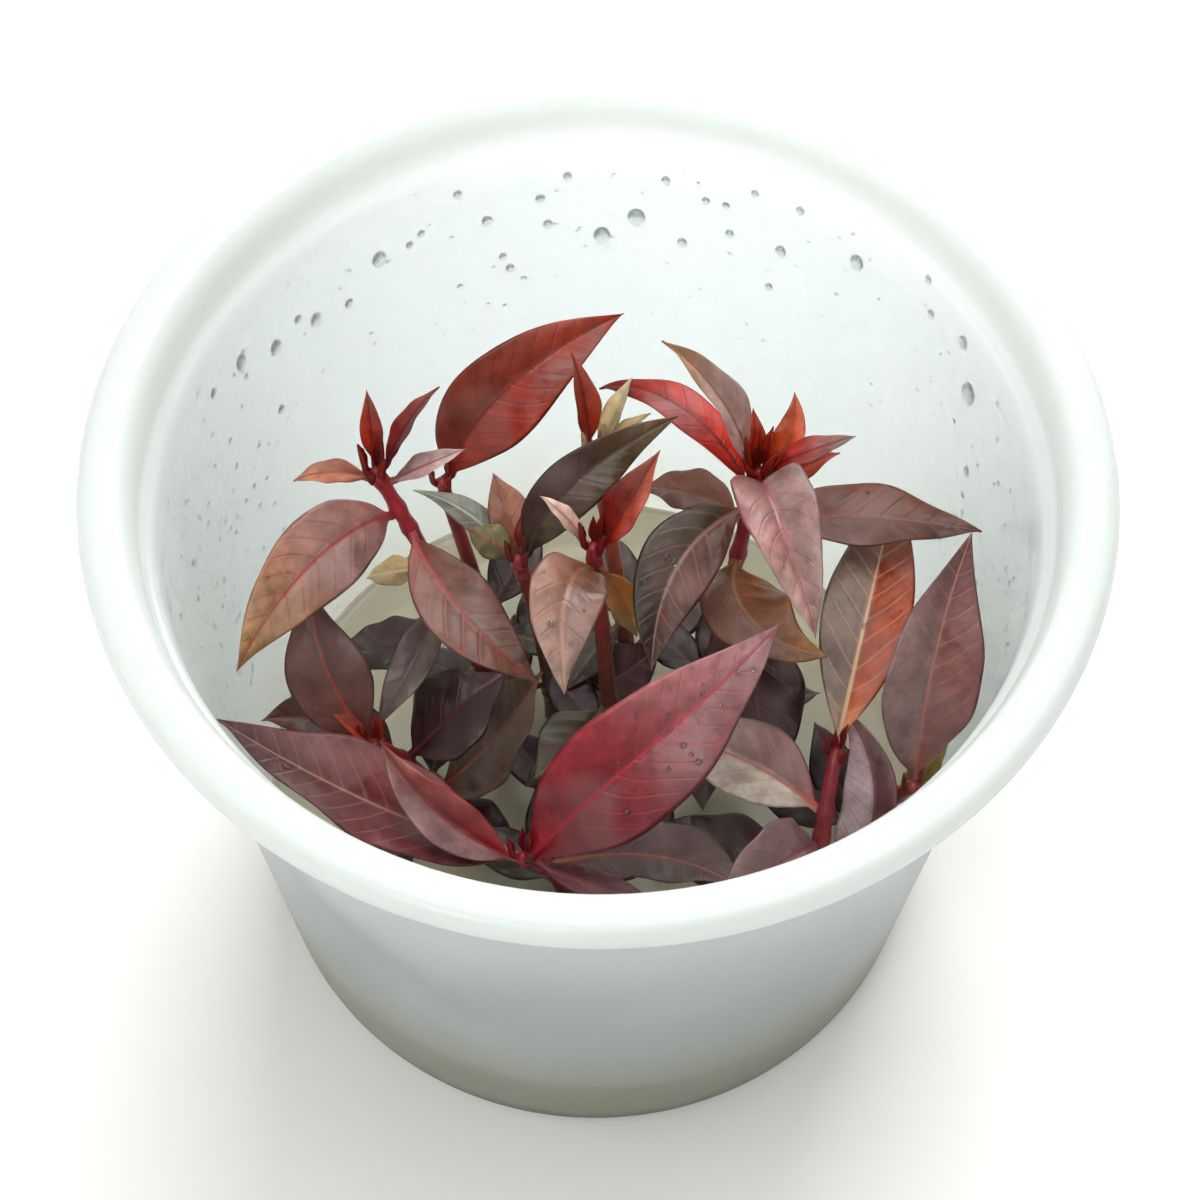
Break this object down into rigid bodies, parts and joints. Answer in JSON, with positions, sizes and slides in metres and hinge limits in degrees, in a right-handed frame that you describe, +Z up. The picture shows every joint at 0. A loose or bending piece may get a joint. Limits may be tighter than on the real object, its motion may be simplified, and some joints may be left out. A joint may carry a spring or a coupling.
{
  "type": "tissue culture ludwigia glandulosa in its jar",
  "caption": "Open translucent plastic cup holding a disc of nutrient gel, with red-leaved aquarium plantlets rooted in the gel.",
  "frame": {"origin": "centre of the cup's underside, on the surface that it stands on", "axes": "+Z up along the cup's axis, +X to the right of the picture, +Y away from the picture's viewer"},
  "size_m": [0.101, 0.101, 0.08],
  "materials": {
    "cup": "frosted translucent polypropylene with a softly glossy lip",
    "gel": "moist translucent jelly, pale cream",
    "stem": "waxy, dark red",
    "leaf": "waxy, mauve-brown upper face and redder underside"
  },
  "bodies": {
    "root": {"cup": "cup", "gel": "gel", "stem_left_back": "stem", "stem_rear_left": "stem", "stem_rear": "stem", "stem_middle": "stem", "stem_centre": "stem", "stem_right_back": "stem", "stem_right": "stem", "stem_right_front": "stem", "stem_front": "stem", "stem_left": "stem", "leaf_left_back_1": "leaf", "leaf_left_back_2": "leaf", "leaf_left_back_3": "leaf", "leaf_left_back_4": "leaf", "leaf_left_back_5": "leaf", "leaf_left_back_6": "leaf", "leaf_left_back_7": "leaf", "leaf_left_back_8": "leaf", "leaf_left_back_9": "leaf", "leaf_rear_left_1": "leaf", "leaf_rear_1": "leaf", "leaf_middle_1": "leaf", "leaf_middle_2": "leaf", "leaf_middle_3": "leaf", "leaf_middle_4": "leaf", "leaf_middle_5": "leaf", "leaf_centre_1": "leaf", "leaf_centre_2": "leaf", "leaf_centre_3": "leaf", "leaf_centre_4": "leaf", "leaf_centre_5": "leaf", "leaf_right_back_1": "leaf", "leaf_right_back_2": "leaf", "leaf_right_back_3": "leaf", "leaf_right_back_4": "leaf", "leaf_right_back_5": "leaf", "leaf_right_back_6": "leaf", "leaf_right_back_7": "leaf", "leaf_right_back_8": "leaf", "leaf_right_back_9": "leaf", "leaf_right_back_10": "leaf", "leaf_right_1": "leaf", "leaf_right_2": "leaf", "leaf_right_front_1": "leaf", "leaf_right_front_2": "leaf", "leaf_right_front_3": "leaf", "leaf_right_front_4": "leaf", "leaf_right_front_5": "leaf", "leaf_front_1": "leaf", "leaf_front_2": "leaf", "leaf_front_3": "leaf", "leaf_front_4": "leaf", "leaf_front_5": "leaf", "leaf_left_1": "leaf", "leaf_left_2": "leaf", "leaf_left_3": "leaf", "leaf_left_4": "leaf", "leaf_left_5": "leaf"}
  },
  "joints": []
}
